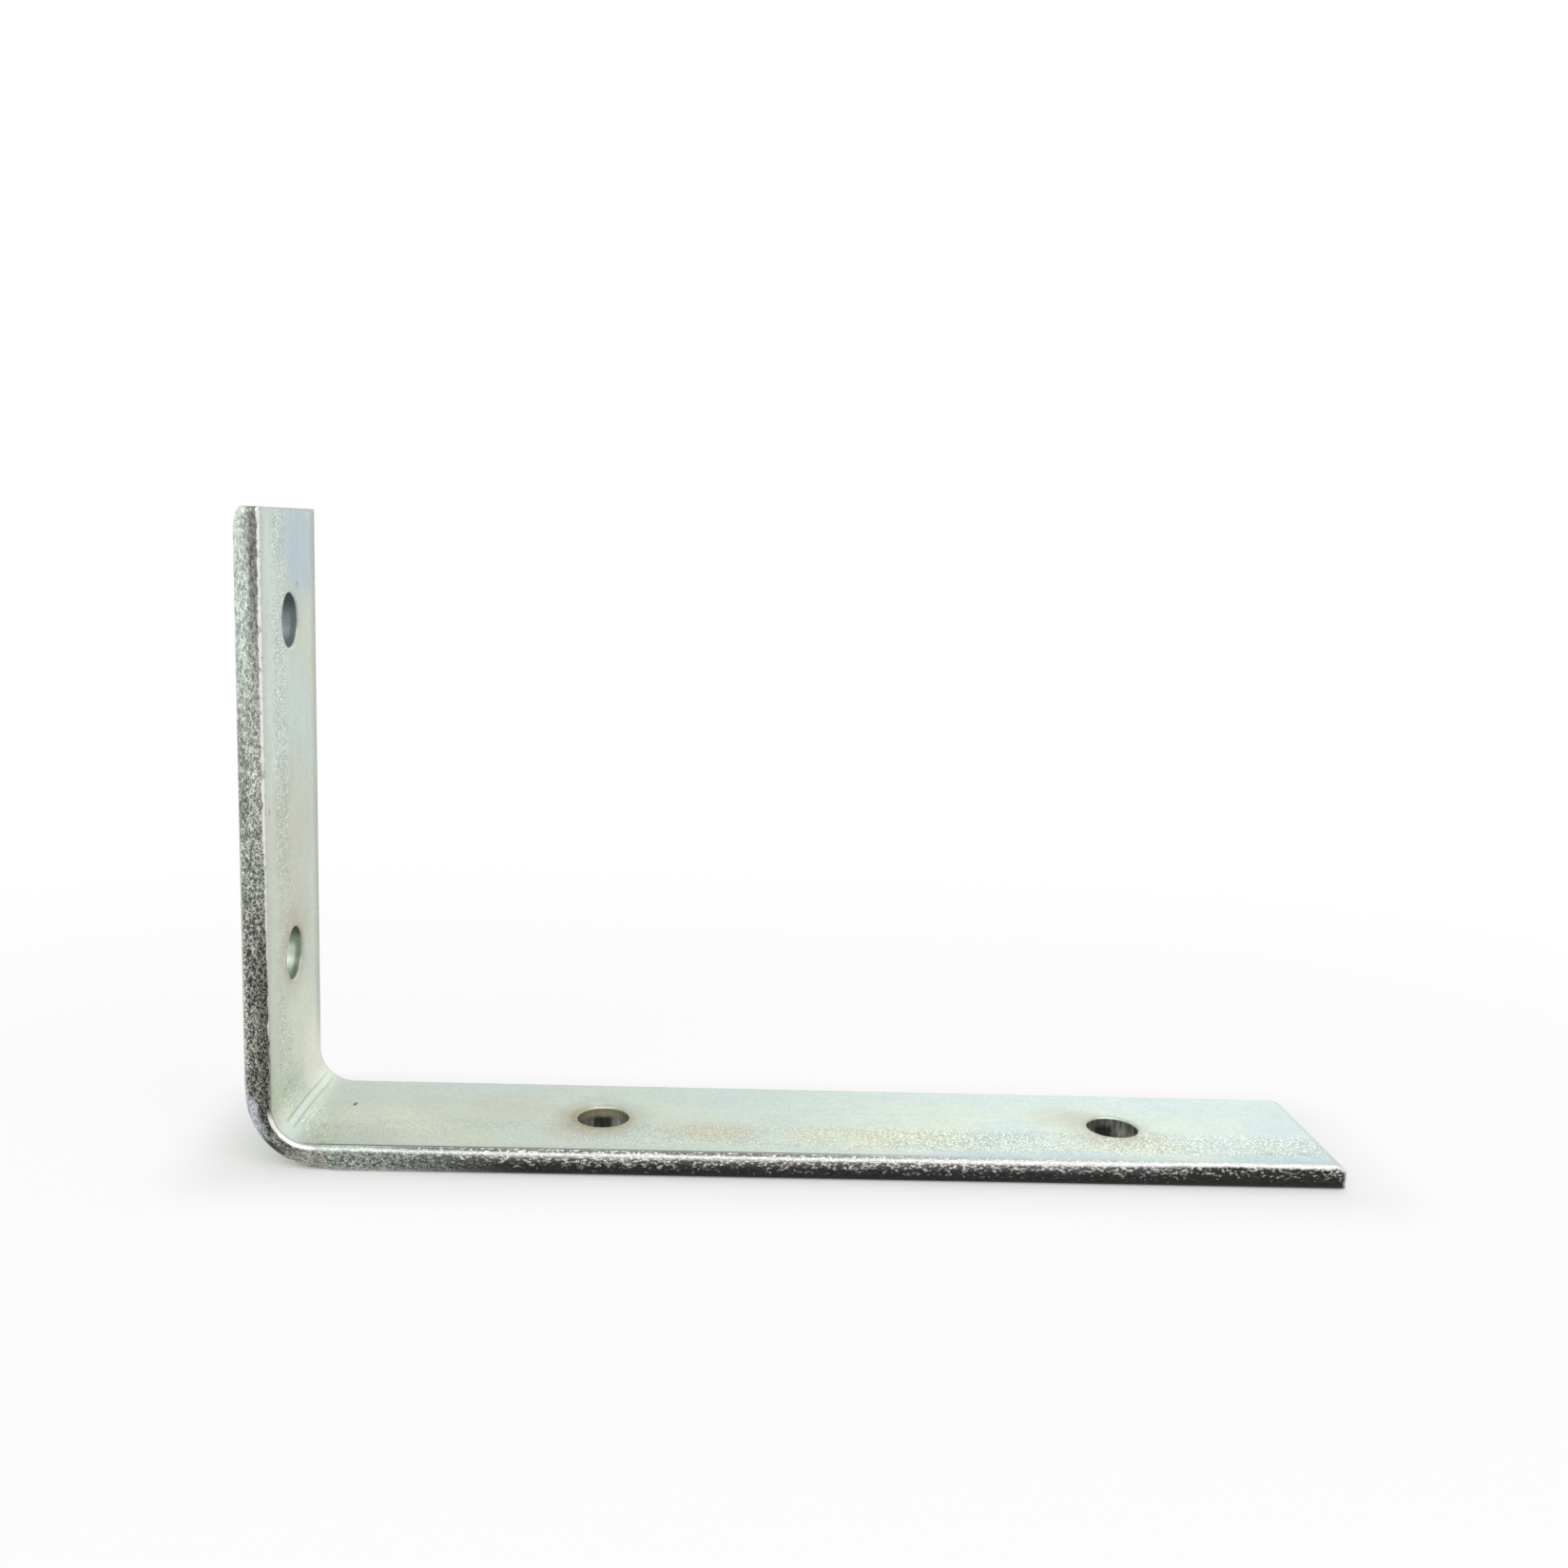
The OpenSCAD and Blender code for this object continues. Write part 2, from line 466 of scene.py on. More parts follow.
FORMING_SIZES = {
    "Thickness": THICKNESS,
    "Half width": HALF_WIDTH,
    "Inner radius": INNER_RADIUS,
    "Outer axis": OUTER_AXIS,
    "Corner to origin": HALF_LONG_LEG,
    "Side draw": 0.6,
    "Nose flat": 0.85,
    "Nose depth": 0.06,
    "Edge roughness": 0.055,
    "Edge waviness": 0.06,
    "Face waviness": 0.012,
    "Peel": 0.012,
    "Seed": 7.0,
}


def forming_tree(finish):
    """Bends the blank, marks it with the press nose and roughens its rolled sides."""
    tree = bpy.data.node_groups.new("bar_forming", "GeometryNodeTree")
    tree.interface.new_socket(name="Blank", in_out="INPUT", socket_type="NodeSocketGeometry")
    tree.interface.new_socket(name="Bracket", in_out="OUTPUT", socket_type="NodeSocketGeometry")
    for name, value in FORMING_SIZES.items():
        socket = tree.interface.new_socket(name=name, in_out="INPUT", socket_type="NodeSocketFloat")
        socket.default_value = value
    given = Field.node(tree, "NodeGroupInput", {}, {}, "Blank")
    thickness, half_width, inner_radius, outer_axis, to_origin = (
        given.beside(name) for name in ("Thickness", "Half width", "Inner radius", "Outer axis", "Corner to origin"))
    seed = given.beside("Seed")

    flat = Field.node(tree, "GeometryNodeInputPosition", {}, {})
    along, across, up = place_of(flat)
    inner_axis = thickness + inner_radius
    bend_half = inner_radius * (math.pi / 4)
    share = up / thickness
    width_share = abs(across) / half_width

    # The sides: rolled rough, a little wavy, and drawn in round the outside of the bend
    side = width_share.rise(0.93, 0.99)
    pits = grain(flat, 0.42, seed, 2.5, 0.6, (1.3, 1, 0.8)).rise(0.62, 0.34)
    scale_marks = grain(flat, 1.6, seed + 1, 2, 0.5, (2.2, 1, 0.9)).rise(0.3, 0.7)
    wave = grain(flat, 7, seed + 2, 1, 0.5, (1.6, 1, 1))
    roughness = given.beside("Edge roughness") * pits * (0.55 + 0.45 * scale_marks)
    from_middle = along / (bend_half * 1.75)
    stretch = (1 - from_middle * from_middle).most(0)
    draw = given.beside("Side draw") * stretch * stretch.root() * share.rise(0.75, 0.0)
    across_in = side * (roughness + given.beside("Edge waviness") * wave) + draw * width_share.rise(0.72, 1.0)
    across_now = across - across.sign() * across_in

    # The bend: each point turns about its own axis, the outer one further in
    turn = (along / inner_radius).most(-math.pi / 4).least(math.pi / 4) + math.pi / 4
    on_long = along.over(0)
    reach = (abs(along) - bend_half).most(0)
    settle = 8.0
    axis_gap = outer_axis - inner_axis
    outer_reach = (reach - axis_gap).most(reach * (1 - axis_gap / settle))

    # The press nose's flat, with its two fine borders, and the peel where the inside is squeezed
    mark_middle = across.rise(-1.0, 8.0) * 0.22
    mark = abs(along - mark_middle)
    half_flat = given.beside("Nose flat") / 2
    pressed = mark.rise(half_flat + 0.12, half_flat - 0.08) * across.rise(-7.3, -6.3) * across.rise(9.0, 7.8)
    border = (abs(mark - half_flat)).rise(0.20, 0.0) * across.rise(-7.5, -6.0) * across.rise(8.8, 7.0)
    squeezed = abs(along).rise(7.5, 2.0) * mark.rise(0.45, 1.2)
    peel = grain(flat, 0.7, seed + 3, 2, 0.5, (1, 1, 1)) - 0.5
    creases = grain(flat, 0.55, seed + 4, 1.5, 0.5, (1, 2.6, 1)) - 0.5
    face_wave = grain(flat, 9, seed + 5, 1, 0.5, (1.5, 1, 1))
    inside = share.rise(0.6, 1.0)
    inner_lift = (inside * (squeezed * (peel + creases) * 2 * given.beside("Peel")
                            - pressed * given.beside("Nose depth") - border * 0.02)
                  - face_wave * given.beside("Face waviness"))

    sine, cosine = turn.sine(), turn.cosine()
    inner_x = inner_axis - (inner_radius - inner_lift) * cosine + reach * on_long
    inner_z = inner_axis - (inner_radius - inner_lift) * sine + reach * (1 - on_long)
    outer_radius = outer_axis - face_wave * given.beside("Face waviness")
    outer_x = outer_axis - outer_radius * cosine + outer_reach * on_long
    outer_z = outer_axis - outer_radius * sine + outer_reach * (1 - on_long)
    formed = vector_of(
        tree,
        (share.blend(outer_x, inner_x) - to_origin) * MM,
        across_now * MM,
        share.blend(outer_z, inner_z) * MM,
    )

    kept_place = Field.node(
        tree, "GeometryNodeStoreNamedAttribute", {"data_type": "FLOAT_VECTOR", "domain": "POINT"},
        {"Geometry": given, "Name": "flat_place", "Value": flat},
    )
    bent = Field.node(tree, "GeometryNodeSetPosition", {}, {"Geometry": kept_place, "Position": formed})
    whole = Field.node(tree, "GeometryNodeRealizeInstances", {}, {"Geometry": bent})
    finished = Field.node(tree, "GeometryNodeSetMaterial", {}, {"Geometry": whole, "Material": finish})
    Field.node(tree, "NodeGroupOutput", {}, {"Bracket": finished})
    return tree


def form(blank, finish):
    """Runs the forming tree on the blank and leaves its result as a plain mesh."""
    bpy.context.scene.collection.objects.link(blank)
    tree = forming_tree(finish)
    press = blank.modifiers.new("press", "NODES")
    press.node_group = tree
    for item in tree.interface.items_tree:
        if item.name in FORMING_SIZES:
            press[item.identifier] = FORMING_SIZES[item.name]
    graph = bpy.context.evaluated_depsgraph_get()
    formed = bpy.data.meshes.new_from_object(
        blank.evaluated_get(graph), preserve_all_data_layers=True, depsgraph=graph)
    blank.modifiers.clear()
    blank.data = formed
    return blank


# ---------------------------------------------------------------- the zinc finish

# Reflectances of the plating's tints
SATIN = (0.57, 0.625, 0.54)
MINT = (0.60, 0.69, 0.625)
STRAW = (0.66, 0.70, 0.565)
SKY = (0.56, 0.665, 0.67)
LAVENDER = (0.46, 0.56, 0.605)
BEIGE = (0.555, 0.565, 0.475)
WARM_STRAW = (0.61, 0.61, 0.48)
PALE_STRAW = (0.75, 0.765, 0.645)
FROST = (0.635, 0.72, 0.685)
DULL = (0.52, 0.565, 0.49)
RUST = (0.35, 0.30, 0.19)
GUNMETAL = (0.10, 0.105, 0.095)
# The last is no tint of the plating but the white of the painted glints in the sparkling bands
PAINTED_GLINT = (0.94, 0.95, 0.90)

# Soft clouds on the inner faces: place along and across, half length and half width, tint, share
CLOUDS = [
    (-63.0, 3.4, 9.5, 8.0, LAVENDER, 1.0),
    (-64.0, -6.0, 7.0, 5.0, SKY, 0.5),
    (-59.0, -5.2, 6.5, 5.0, FROST, 0.7),
    (-48.5, -5.0, 10.0, 5.5, FROST, 0.8),
    (-40.0, -4.0, 5.0, 4.0, FROST, 0.9),
    (-40.0, 4.5, 6.0, 6.5, SKY, 0.6),
    (-57.0, -8.5, 12.0, 2.4, SKY, 0.4),
    (-46.0, 2.0, 7.0, 6.0, SKY, 0.45),
    (-33.0, 0.0, 11.0, 10.0, BEIGE, 0.75),
    (-22.0, 0.0, 6.5, 7.0, BEIGE, 1.0),
    (-9.0, 1.0, 7.0, 9.0, STRAW, 0.9),
    (-4.0, 6.5, 5.5, 6.5, PALE_STRAW, 1.0),
    (-3.0, -6.5, 4.0, 4.0, STRAW, 0.9),
    (1.2, -7.6, 2.8, 2.6, SKY, 0.8),
    (9.0, -3.0, 9.0, 6.5, STRAW, 0.7),
    (6.0, -7.0, 8.0, 5.0, DULL, 0.9),
    (22.0, 3.0, 7.0, 4.0, BEIGE, 0.5),
    (25.0, -5.5, 4.0, 3.5, SKY, 0.45),
    (30.5, -4.4, 4.5, 3.2, BEIGE, 0.8),
    (45.5, -3.6, 7.0, 3.6, WARM_STRAW, 0.9),
    (48.0, 6.0, 12.0, 4.0, SKY, 0.4),
    (62.0, -4.2, 11.0, 4.6, STRAW, 1.0),
    (73.0, -8.6, 9.0, 1.8, SKY, 0.7),
    (71.0, -4.0, 5.0, 4.0, STRAW, 0.6),
    (80.0, -3.0, 5.5, 5.5, SKY, 0.75),
    (87.5, 2.4, 5.5, 4.2, BEIGE, 0.7),
    (88.0, -3.4, 4.0, 2.8, BEIGE, 0.35),
    (96.0, -2.8, 3.0, 2.2, BEIGE, 0.7),
    (94.0, -5.4, 8.0, 3.4, STRAW, 0.9),
    (84.0, -8.8, 17.0, 2.2, LAVENDER, 0.6),
    (104.0, -4.2, 6.0, 3.8, FROST, 1.0),
    (113.2, 0.0, 2.6, 10.0, LAVENDER, 0.45),
    (78.0, 8.0, 22.0, 3.5, SKY, 0.6),
    (106.0, 7.0, 14.0, 5.0, SKY, 1.0),
    (111.0, -8.4, 12.0, 2.6, LAVENDER, 0.7),
    (113.0, 0.0, 7.0, 5.5, SKY, 0.9),
    (113.0, -3.6, 5.0, 3.0, FROST, 0.7),
]

# Rust-beige halo round each hole: place along, share
HALOS = [(HOLE_A, 0.10), (HOLE_B, 0.65), (HOLE_C, 1.0), (HOLE_D, 0.50)]

# Small marks on the inner faces: place along and across, half length and half width, tint, share
MARKS = [
    (-58.1, 2.3, 0.5, 0.7, GUNMETAL, 0.35),
    (-34.9, -8.3, 0.5, 0.25, GUNMETAL, 0.6),
    (5.0, 2.1, 0.3, 0.7, GUNMETAL, 1.0),
]

# Patches on the front side: place along and up, half length and half height, tint, share; the lavender one at the bend
# is a painted highlight
SIDE_PATCHES = [
    (-67.2, 0.9, 1.6, 1.7, (0.85, 0.86, 0.72), 0.75),
    (-2.1, 0.6, 2.2, 1.25, (0.56, 0.575, 0.64), 0.95),
    (0.25, 0.5, 1.2, 0.95, (0.045, 0.045, 0.045), 1.0),
    (2.9, 1.1, 2.1, 1.3, (0.44, 0.43, 0.38), 0.9),
]


def oval(along, across, mark):
    """Soft share of an oval mark on the faces, 1 at its middle."""
    at_along, at_across, half_along, half_across = mark[:4]
    x = (along - at_along) / half_along
    y = (across - at_across) / half_across
    return (x * x + y * y).rise(1.0, 0.0)


def dimmed(colour, level):
    """The colour times a level."""
    return Field.node(
        colour.tree, "ShaderNodeVectorMath", {"operation": "SCALE"}, {0: colour, "Scale": level})


def across_front(flat):
    """1 on the front half of the bar, 0 on the rear one."""
    return 1 - place_of(flat)[1].over(0)


def nose_lines(along, across):
    """The press nose's flat across the inside of the bend, and the painted shade in the two fine grooves beside it."""
    from_middle = abs(along - across.rise(-1.0, 8.0) * 0.22)
    half_flat = FORMING_SIZES["Nose flat"] / 2
    flat_share = from_middle.rise(half_flat + 0.1, half_flat - 0.2) * across.rise(-7.2, -6.0) * across.rise(10, 2)
    groove_shade = abs(from_middle - half_flat).rise(0.32, 0.02) * across.rise(-7.4, -6.4) * across.rise(9.5, 3.0)
    return flat_share, groove_shade


def face_colour(flat, inner, crystals, band):
    """The two faces: clouds of tint, freely strewn and then placed, satin grain and a sparkling band, whose glints are
    painted highlights.
    """
    along, across, _ = place_of(flat)
    cloud = grain(flat, 17, 11, 3, 0.55, (1.8, 1, 1))
    veil = grain(flat, 26, 12, 3, 0.55, (1.8, 1, 1))
    warp = grain(flat, 6, 13, 3, 0.6)
    colour = along.rise(20, 50).tint(SATIN, MINT)
    colour = (cloud.rise(0.45, 0.66) * 0.4).tint(colour, STRAW)
    colour = (veil.rise(0.48, 0.72) * 0.4).tint(colour, SKY)
    for mark in CLOUDS:
        colour = (oval(along, across, mark) * inner * warp.rise(0.15, 0.55) * mark[5]).tint(colour, mark[4])
    fine = grain(flat, 0.33, 14, 2, 0.6)
    satin = grain(flat, 1.2, 15, 2, 0.5, (3.0, 1, 1))
    squeezed = abs(along).rise(8.5, 2.0) * across.rise(4.5, -3.5) * inner
    squeezed = squeezed * (1 - across.rise(-5.8, -7.0) * abs(along).rise(3.2, 1.6)) * abs(along).rise(0.3, 0.9)
    creases = grain(flat, 0.22, 22, 1.5, 0.5, (1, 4.0, 1), 0.8)
    rear = across.rise(6.8, 8.9) * along.rise(-2, -9) * 0.24 + across.rise(-7.6, -9.0) * 0.05
    # In the sparkling band the crystals are painted lighter and darker as glints, beside their real bumps
    level = (1 + 0.40 * (fine - 0.5) + 0.14 * (satin - 0.5) + band * (2.6 * (crystals - 0.48).most(-0.06) - 0.16)
             + 0.8 * squeezed * (creases - 0.5) - rear * inner)
    flat_share, groove_shade = nose_lines(along, across)
    colour = (flat_share * inner * 0.35).tint(colour, MINT)
    colour = (squeezed * creases.rise(0.5, 0.65) * 0.25).tint(colour, PALE_STRAW)
    # Painted shade in the nose's two fine grooves
    colour = (groove_shade * inner * fine.rise(0.3, 0.6) * 0.42).tint(colour, (0.33, 0.42, 0.38))
    colour = dimmed(colour, level)
    # The band's brightest crystals are painted white as glints
    return (crystals.rise(0.58, 0.69) * band * 0.75).tint(colour, PAINTED_GLINT), fine, satin, creases, squeezed


def side_colour(flat, along, up, long_leg, worms):
    """The rolled sides, their light and shade painted: mint-grey scribble on the short leg, nearly black with painted
    white glints on the long one, under painted highlight lines.
    """
    streaks = grain(flat, 0.16, 27, 1.5, 0.5, (3.5, 1, 1))
    clumps = grain(flat, 0.30, 26, 2, 0.6, (1.7, 1, 0.9))
    sway = grain(flat, 30, 23, 1, 0.5, (1, 1000, 1000)) - 0.5
    ragged = grain(flat, 0.45, 24, 2, 0.6, (2, 1, 1)) - 0.5
    clouds = grain(flat, 2.2, 25, 2, 0.5, (2, 1, 0.7)) - 0.5
    drawn = (along - (LONG_END - LONG_DRAW["length"])).most(0) / LONG_DRAW["length"]
    height = up + drawn * drawn * LONG_DRAW["depth"]
    border = height + 0.30 * sway + 0.4 * ragged
    down = along.rise(-64, -8)
    left = along.rise(27, 6)

    # The short leg, light and shade painted: pale outside, darker inwards and downwards, with a painted highlight line
    # along the inner face
    outside = border.rise(down.blend(1.9, 1.0), down.blend(0.9, 0.3))
    midway = along.rise(-57, -45) * along.rise(-16, -28)
    pale = outside.blend(down.blend(0.36, 0.18) + 0.14 * midway, down.blend(0.74, 0.40) - 0.13 * midway)
    shadowed = (1 - midway) * 0.38 * (border + clouds + 0.8 * (clumps - 0.5)).rise(1.5, 2.2)
    pale = pale * (1 - shadowed) * (1 + 1.3 * clouds)
    scribble = (1 + down.blend(0.35, 1.7) * (worms - 0.42)) * (1 + down.blend(0.9, 2.8) * (clumps - 0.5))
    short_tone = pale * scribble * (1 + down.blend(2.8, 0.6) * (streaks - 0.5))
    # Painted highlight along the outer rounding, in the short leg's lower half
    rim = up.rise(0.42, 0.12) * along.rise(-40, -24) * along.rise(-2, -5)
    short_tone = (rim * 0.8).blend(short_tone, 0.62)
    line_from = down.rise(0.3, 1.0).blend(2.46, 2.67)
    short_line = border.rise(line_from - 0.06, line_from + 0.06) * up.rise(2.8, 2.64).blend(0.55, 1.0)
    short_line = short_line * along.rise(-8, -13).blend(0.6, 1.0) * ragged.rise(-0.22, -0.02).blend(0.45, 1.0)

    # The long leg, painted nearly black as shade: fine white strokes of painted glints that thin out downwards, under a
    # ragged painted highlight band
    ending = along.rise(86, 104)
    passed = border.rise(-0.6, 2.3).blend(0.70, 0.46) - 0.20 * clouds + 0.02 * ending
    strokes = clumps.rise(passed, passed + 0.13) * worms.blend(0.35, 1.15) * height.rise(0.8, 2.2).blend(0.35, 0.85)
    ground = left.blend(0.030, 0.13) * up.rise(0.0, 0.6).blend(0.6, 1.0) * (1 + 1.6 * (streaks - 0.5))
    pebbles = left * (worms * 0.38 + border.rise(0.9, 0.1) * 0.28) * (1 + 3.6 * (clumps - 0.5))
    # Painted light on the upper part of the long leg's side
    painted_upper_light = 0.10 * border.rise(1.2, 2.2) * (1 - ending) * (1 - left)
    long_tone = ground + painted_upper_light + pebbles.most(strokes * left.blend(0.90, 0.5) * (1 - 0.2 * ending))
    rising = border - 0.22 * ending - 0.20 * left
    shaded = along.rise(8, 16) * along.rise(84, 48)
    fades_from = along.rise(60, 45).blend(2.04, 1.84)
    band = rising.rise(fades_from, 2.36) * height.rise(2.66, 2.40).blend(shaded.blend(0.88, 0.25), 1.0)
    long_line = band * (0.77 * worms.blend(0.80, 1.02) + height.rise(2.5, 2.68) * ending * 0.22)
    long_line = long_line.most(along.rise(LONG_END - 0.7, LONG_END - 0.2) * worms.blend(0.2, 0.7))

    # Painted highlight on the inner rounding at the bend
    at_bend = along.rise(-3.4, -1.6) * along.rise(4.6, 2.8) * up.rise(2.34, 2.46) * up.rise(2.78, 2.70) * ragged.rise(-0.25, -0.05).blend(0.45, 1.0)
    line = long_leg.blend(short_line * 0.92, long_line).most(at_bend)
    tone = long_leg.blend(short_tone, long_tone).most(line).least(0.93)
    hue = long_leg.tint(down.tint((0.89, 1.0, 0.91), (0.97, 1.0, 0.88)), left.tint((1.0, 1.0, 0.96), (0.92, 1.0, 0.92)))
    # A warmer hue over the short leg's upper band, where the painted shade lies
    warmer_upper_band = border.rise(1.5, 2.2) * down.blend(0.8, 0.25) * (1 - long_leg) * line.rise(0.5, 0.2)
    hue = warmer_upper_band.tint(hue, (1.0, 0.96, 0.88))
    hue = (line.rise(0.35, 0.6) * (1 - long_leg)).tint(hue, (1.0, 0.985, 0.955))
    colour = dimmed(hue, tone)
    for patch in SIDE_PATCHES:
        share = oval(along, up, patch) * patch[5] * across_front(flat)
        colour = share.tint(colour, dimmed(vector_of(colour.tree, *patch[4]), worms.blend(0.62, 1.25)))
    return colour


def wall_colour(flat, along, across, up, long_leg, streaks):
    """The holes' walls: smooth where the punch slid, torn below, with painted shade where no light gets in and painted
    light on the short leg's two walls.
    """
    torn_share = up.rise(TEAR_LENGTH + 0.15, TEAR_LENGTH - 0.15)
    base = streaks.rise(0.35, 0.7).tint((0.13, 0.135, 0.12), (0.42, 0.43, 0.37))
    # Hole A's lighter tint is partly painted light, as little real light reaches that wall
    for hole, tint, share in ((HOLE_A, (0.50, 0.64, 0.63), 0.95), (HOLE_B, (0.36, 0.42, 0.32), 0.8)):
        base = (abs(along - hole).rise(5, 4) * share).tint(base, tint)
    # Painted light spots on the short leg's walls, and painted shade towards the free end
    for hole, lit, shade, painted_light_tint in ((HOLE_A, 0.2, 0.6, (0.86, 1.0, 1.0)), (HOLE_B, 0.6, 0.7, (0.74, 0.83, 0.72))):
        place = along - hole
        painted_light = place.rise(lit - 1.4, lit - 0.2) * place.rise(lit + 2.6, lit + 1.4) * up.rise(2.1, 1.7)
        base = (painted_light * streaks.rise(0.25, 0.5)).tint(base, painted_light_tint)
        base = (place.rise(-0.6, -2.0) * shade).tint(base, (0.05, 0.065, 0.07))
    # Painted shade deep in the long leg's two holes
    for hole in (HOLE_C, HOLE_D):
        place = along - hole
        shade = place.rise(-2.0, -0.9) * place.rise(1.3, 0.5) * up.rise(2.1, 1.3)
        base = (shade * 0.9).tint(base, (0.015, 0.015, 0.015))
    tan = abs(along - HOLE_C).rise(3.6, 2.8) * up.rise(1.3, 2.1) * streaks.rise(0.2, 0.5).blend(0.5, 0.9)
    return tan.tint(base, (0.43, 0.40, 0.28))


def zinc_finish():
    """Thin zinc plating: satin clouded faces, sparkling bands with painted glints, rolled sides with painted shade and
    highlights, hole walls with painted shade and light.
    """
    made = bpy.data.materials.new("zinc_plating")
    made.use_nodes = True
    tree = made.node_tree
    tree.nodes.clear()
    flat = Field.node(tree, "ShaderNodeAttribute", {"attribute_name": "flat_place"}, {}, "Vector")
    along, across, up = place_of(flat)
    inner = up.rise(THICKNESS - 0.4, THICKNESS - 0.1)
    side = abs(across).rise(9.22, 9.5)
    long_leg = along.rise(-3, 6)

    # The sparkling bands: real crystal bumps, with painted glints in their colour
    crystals = grain(flat, 0.21, 17, 1.5, 0.6, (1.0, 0.9, 1))
    on_short = abs(across + 3.9).rise(3.1, 1.6) * 1.0
    on_long = abs(across + 4.8).rise(4.1, 1.6) * along.rise(10, 80).blend(0.28, 1.0)
    patchy = grain(flat, 5, 16, 2, 0.5, (2, 1, 1)).rise(0.22, 0.5)
    band = long_leg.blend(on_short, on_long) * patchy * inner * abs(along).rise(2, 8)
    colour, fine, satin, creases, squeezed = face_colour(flat, inner, crystals, band)

    # Rust-beige halos, small marks and a thin painted dark reflection beside the front edge
    stain = grain(flat, 1.8, 18, 3, 0.6)
    from_hole = None
    for hole, amount in HALOS:
        x = along - hole
        away = (x * x + across * across).root()
        towards = (0 - 0.42 * x - 0.91 * across) / away
        lean = towards.rise(-0.9, 0.9).blend(0.4, 1.0)
        halo = away.rise(7.0, 3.2) * stain.rise(0.28, 0.56) * 0.65 + away.rise(4.1, 3.1) * stain.rise(0.1, 0.5) * 0.45
        halo = halo * lean
        colour = (halo * inner * amount).tint(colour, RUST)
        from_hole = away if from_hole is None else from_hole.least(away)
    for mark in MARKS:
        colour = (oval(along, across, mark) * inner * mark[5] * stain.rise(0.15, 0.5)).tint(colour, mark[4])
    # Painted dark reflection where the front edge starts to round off
    painted_dark_edge = abs(across + 9.18).rise(0.17, 0.05) * along.rise(80, 50) * along.rise(1, 5) * inner
    colour = (painted_dark_edge * 0.95).tint(colour, GUNMETAL)

    loops = grain(flat, 0.29, 19, 1.0, 0.5, (1.5, 1, 1), 0.5)
    worms = abs(loops - 0.5).rise(0.10, 0.01)
    # The sides' colour holds their painted shade, glints and highlights
    colour = side.tint(colour, side_colour(flat, along, up, long_leg, worms))

    streaks = grain(flat, 0.5, 21, 3, 0.6, (1, 1, 6))
    wall = from_hole.rise(3.6, 3.5) * up.rise(THICKNESS - 0.1, THICKNESS - 0.3)
    colour = wall.tint(colour, wall_colour(flat, along, across, up, long_leg, streaks))
    cut = ((along - (LONG_END - 0.03)).over(0) + (SHORT_END + 0.4 - along).over(0)).least(1) * (1 - side)
    colour = cut.tint(colour, streaks.rise(0.3, 0.7).tint((0.44, 0.47, 0.43), (0.56, 0.60, 0.54)))

    height = (
        (fine * 0.5 + satin * 0.25) * (1 - side) + crystals * band * 4 + worms * side * 2.0
        + streaks * wall * 2 + creases * squeezed * 4
    )
    bump = Field.node(tree, "ShaderNodeBump", {}, {"Strength": 0.6, "Distance": 0.00002, "Height": height}, "Normal")
    roughness = 0.42 - 0.15 * band * crystals.rise(0.5, 0.65) - 0.07 * side
    metallic = 0.9 - 0.45 * wall * along.rise(-45, -50)
    shader = Field.node(
        tree, "ShaderNodeBsdfPrincipled", {},
        {"Base Color": colour, "Metallic": metallic, "Roughness": roughness, "Normal": bump})
    Field.node(tree, "ShaderNodeOutputMaterial", {}, {"Surface": shader})
    return made


# ---------------------------------------------------------------- the studio

def floor_finish():
    """White floor that keeps the bracket's soft shadow and runs out into the white backdrop."""
    made = bpy.data.materials.new("floor_white")
    made.use_nodes = True
    tree = made.node_tree
    tree.nodes.clear()
    path = Field.node(tree, "ShaderNodeLightPath", {}, {}, "Is Camera Ray")
    seen = path.most(path.beside("Is Glossy Ray")).most(path.beside("Is Transmission Ray"))
    x, y, _ = place_of(Field.node(tree, "ShaderNodeTexCoord", {}, {}, "Object"))
    over_x = (abs(x) - HALF_LONG_LEG * MM).most(0)
    over_y = (abs(y) - HALF_WIDTH * MM).most(0)
    away = (over_x * over_x + over_y * over_y).root()
    share = away.rise(0.0, 0.012).blend(0.2, 0.8) + away.rise(0.02, 0.15) * 0.2
    white = Field.node(tree, "ShaderNodeEmission", {}, {"Color": (1, 1, 1, 1), "Strength": 1.0})
    matt = Field.node(tree, "ShaderNodeBsdfDiffuse", {}, {"Color": (0.82, 0.82, 0.82, 1)})
    mixed = Field.node(tree, "ShaderNodeMixShader", {}, {0: share * seen, 1: matt, 2: white})
    Field.node(tree, "ShaderNodeOutputMaterial", {}, {"Surface": mixed})
    return made


def lay_floor():
    reach = 3.0
    made = bpy.data.meshes.new("floor")
    made.from_pydata([(-reach, -reach, 0), (reach, -reach, 0), (reach, reach, 0), (-reach, reach, 0)], [], [(0, 1, 2, 3)])
    floor = bpy.data.objects.new("floor", made)
    bpy.context.scene.collection.objects.link(floor)
    made.materials.append(floor_finish())


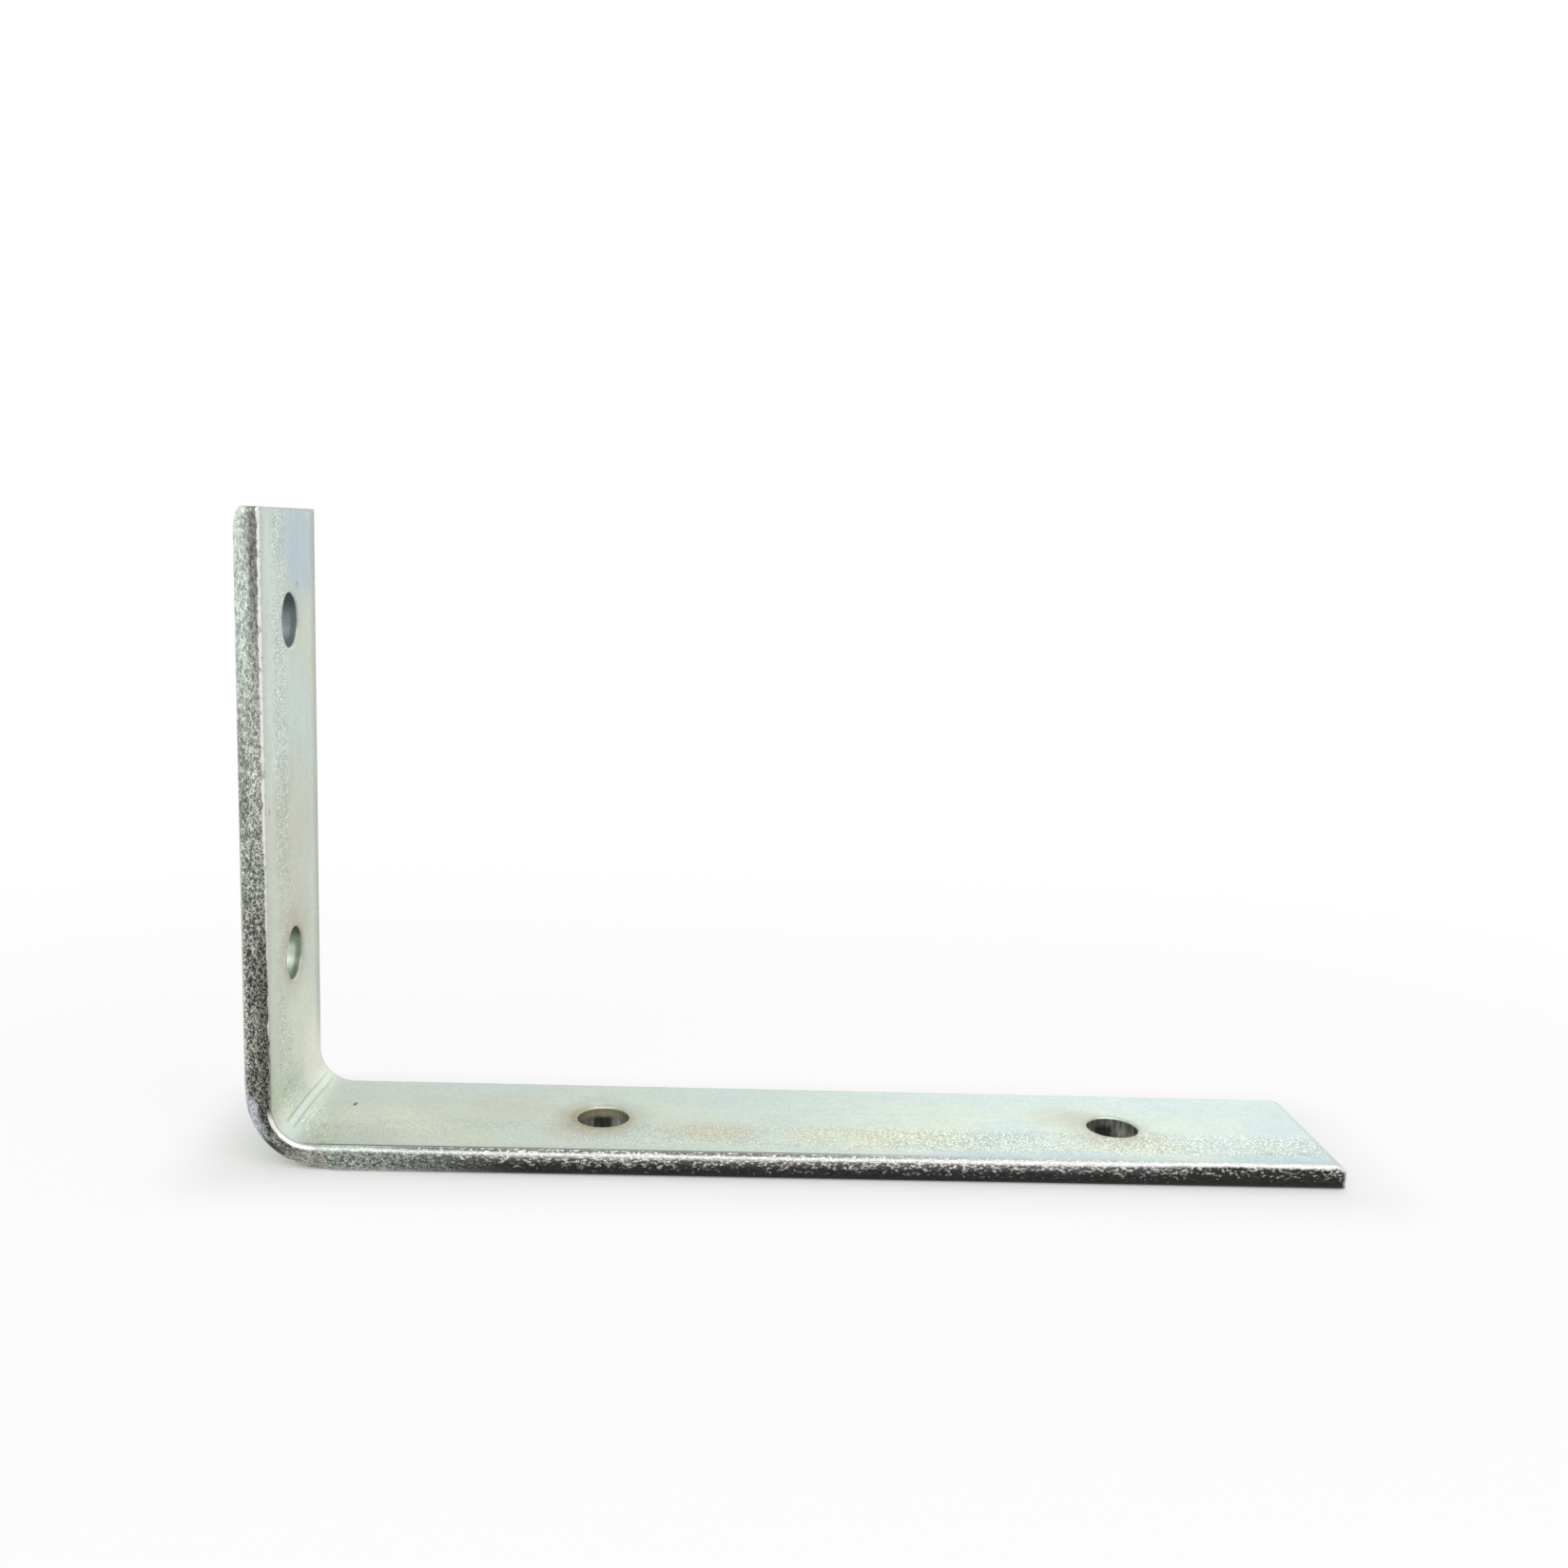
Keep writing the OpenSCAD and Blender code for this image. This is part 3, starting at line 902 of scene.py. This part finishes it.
def hang_world():
    """White backdrop, also in the metal's reflections behind the bracket, and the room's soft light."""
    world = bpy.data.worlds.new("studio_room")
    bpy.context.scene.world = world
    world.use_nodes = True
    tree = world.node_tree
    tree.nodes.clear()
    path = Field.node(tree, "ShaderNodeLightPath", {}, {}, "Is Camera Ray")
    _, y, z = place_of(Field.node(tree, "ShaderNodeTexCoord", {}, {}, "Generated"))
    backdrop = y.rise(-0.6, 0.1)
    seen = path.most(path.beside("Is Transmission Ray")).most(path.beside("Is Glossy Ray") * backdrop)
    room = z.rise(0.25, 0.85).blend(0.50, 0.80) + y.rise(-0.1, -0.8) * 0.22
    white = Field.node(tree, "ShaderNodeBackground", {}, {"Color": (1, 1, 1, 1), "Strength": 1.0})
    light = Field.node(tree, "ShaderNodeBackground", {}, {"Color": (0.985, 1.0, 0.985, 1), "Strength": room})
    mixed = Field.node(tree, "ShaderNodeMixShader", {}, {0: seen, 1: light, 2: white})
    Field.node(tree, "ShaderNodeOutputWorld", {}, {"Surface": mixed})


def hang_lamp(name, place, aim, width, height, power):
    lamp = bpy.data.lights.new(name, "AREA")
    lamp.shape = "RECTANGLE"
    lamp.size = width
    lamp.size_y = height
    lamp.energy = power
    hung = bpy.data.objects.new(name, lamp)
    hung.location = place
    hung.rotation_euler = (Vector(aim) - Vector(place)).to_track_quat("-Z", "Y").to_euler()
    bpy.context.scene.collection.objects.link(hung)


def set_camera():
    """A phone held close in front, a little above the bracket's middle."""
    lens = bpy.data.cameras.new("camera")
    lens.sensor_width = 36
    lens.lens = 32.47
    lens.clip_start = 0.01
    lens.clip_end = 20
    camera = bpy.data.objects.new("camera", lens)
    yaw, pitch, roll = -0.0493073, 0.1580317, 0.0400506
    turned = (Matrix.Rotation(yaw, 4, "Z") @ Matrix.Rotation(math.pi / 2 - pitch, 4, "X")
              @ Matrix.Rotation(roll, 4, "Z"))
    camera.matrix_world = Matrix.Translation((-0.01127, -0.15448, 0.06660)) @ turned
    bpy.context.scene.collection.objects.link(camera)
    bpy.context.scene.camera = camera


bracket = form(make_blank(), zinc_finish())
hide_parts("angle_bracket")
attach(bracket, "root")

lay_floor()
hang_world()
hang_lamp("lamp_front", (0.08, -0.36, 0.52), (0, 0, 0), 1.10, 0.42, 2.1)
hang_lamp("lamp_behind", (0.33, 0.77, 0.35), (0, 0, 0), 0.50, 0.40, 0.32)
set_camera()
bpy.context.scene.view_settings.view_transform = "Standard"
